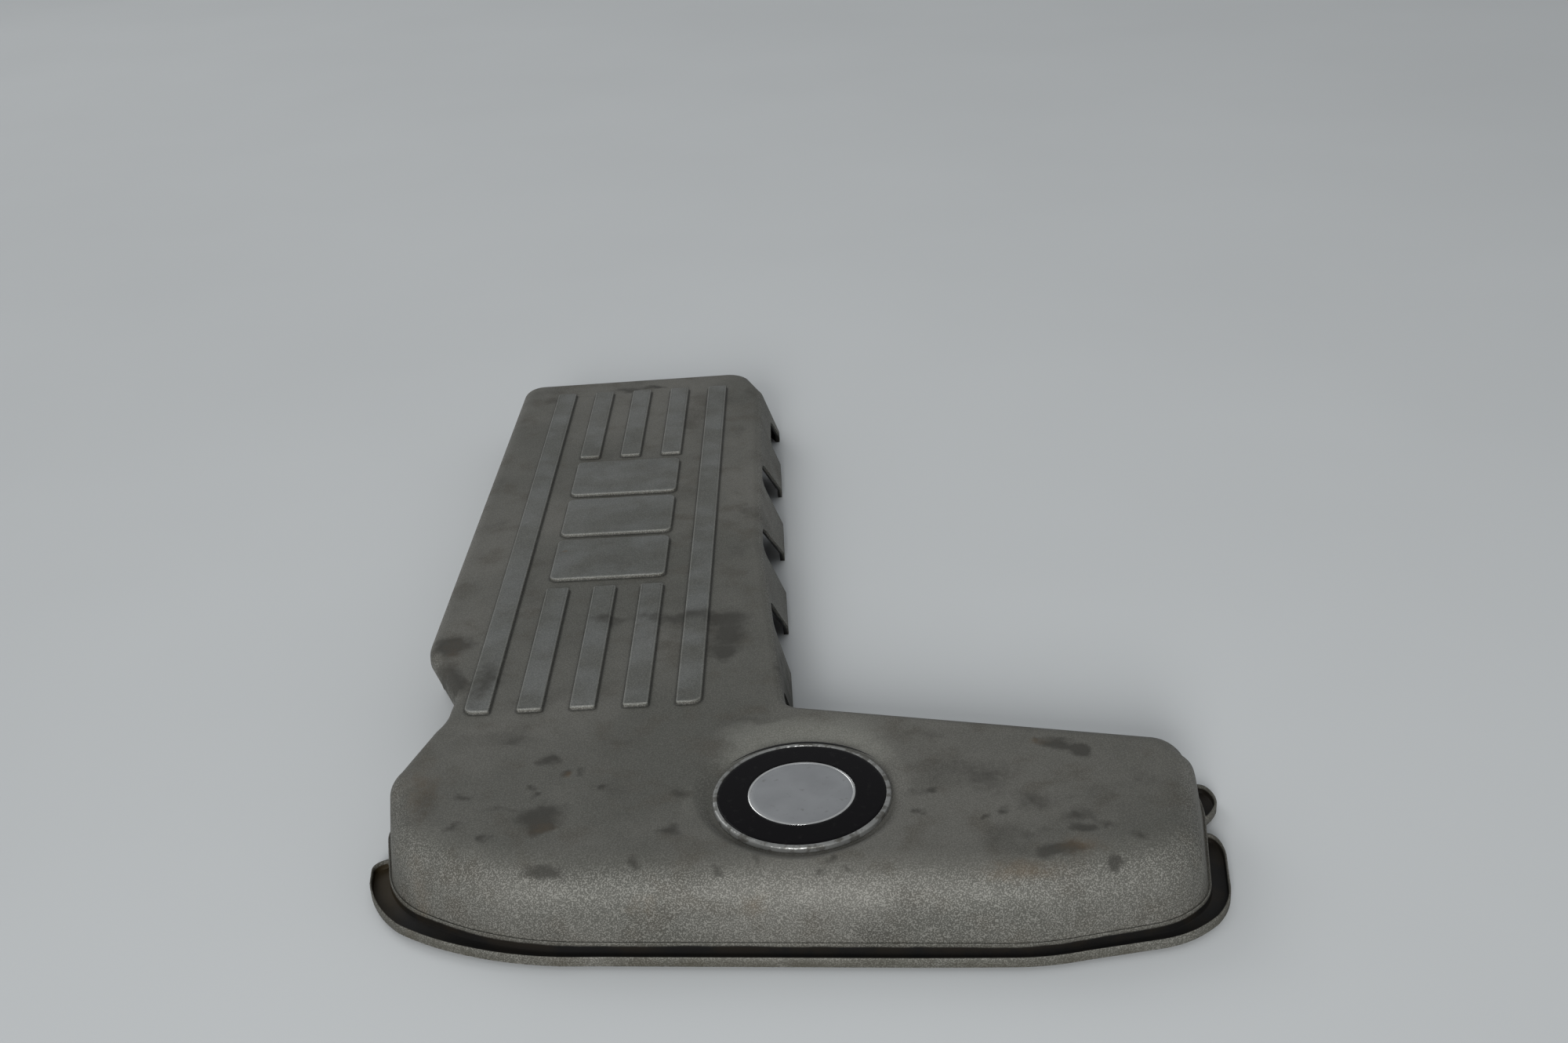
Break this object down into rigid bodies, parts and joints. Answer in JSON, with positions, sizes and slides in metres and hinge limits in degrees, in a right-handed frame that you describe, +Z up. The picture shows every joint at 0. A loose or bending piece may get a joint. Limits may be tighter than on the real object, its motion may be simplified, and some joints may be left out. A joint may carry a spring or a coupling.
{
  "type": "engine cover",
  "caption": "Moulded engine cover: a long ribbed arm with a notched skirt, a domed front section with a gutter, and a plain round badge.",
  "frame": {"origin": "middle of the footprint, at the bottom edge", "axes": "+X to the right across the engine, +Y from the front section to the far end of the arm, +Z up"},
  "size_m": [0.4024, 0.6144, 0.0442],
  "materials": {
    "painted_shell": "warm grey satin metallic paint over black moulded plastic, stained and worn",
    "badge_metal": "bright plated rim, dulled by fine scratches",
    "badge_gloss": "gloss black ring with a satin silver centre",
    "grommet_rubber": "matt black moulded rubber",
    "foam": "dark open cell foam"
  },
  "bodies": {
    "root": {"cover_shell": "painted_shell", "badge_carrier": "badge_metal", "badge_face": "badge_gloss", "grommet_1": "grommet_rubber", "grommet_2": "grommet_rubber", "grommet_3": "grommet_rubber", "grommet_4": "grommet_rubber", "foam_arm": "foam", "foam_left": "foam", "foam_right": "foam"}
  },
  "joints": []
}
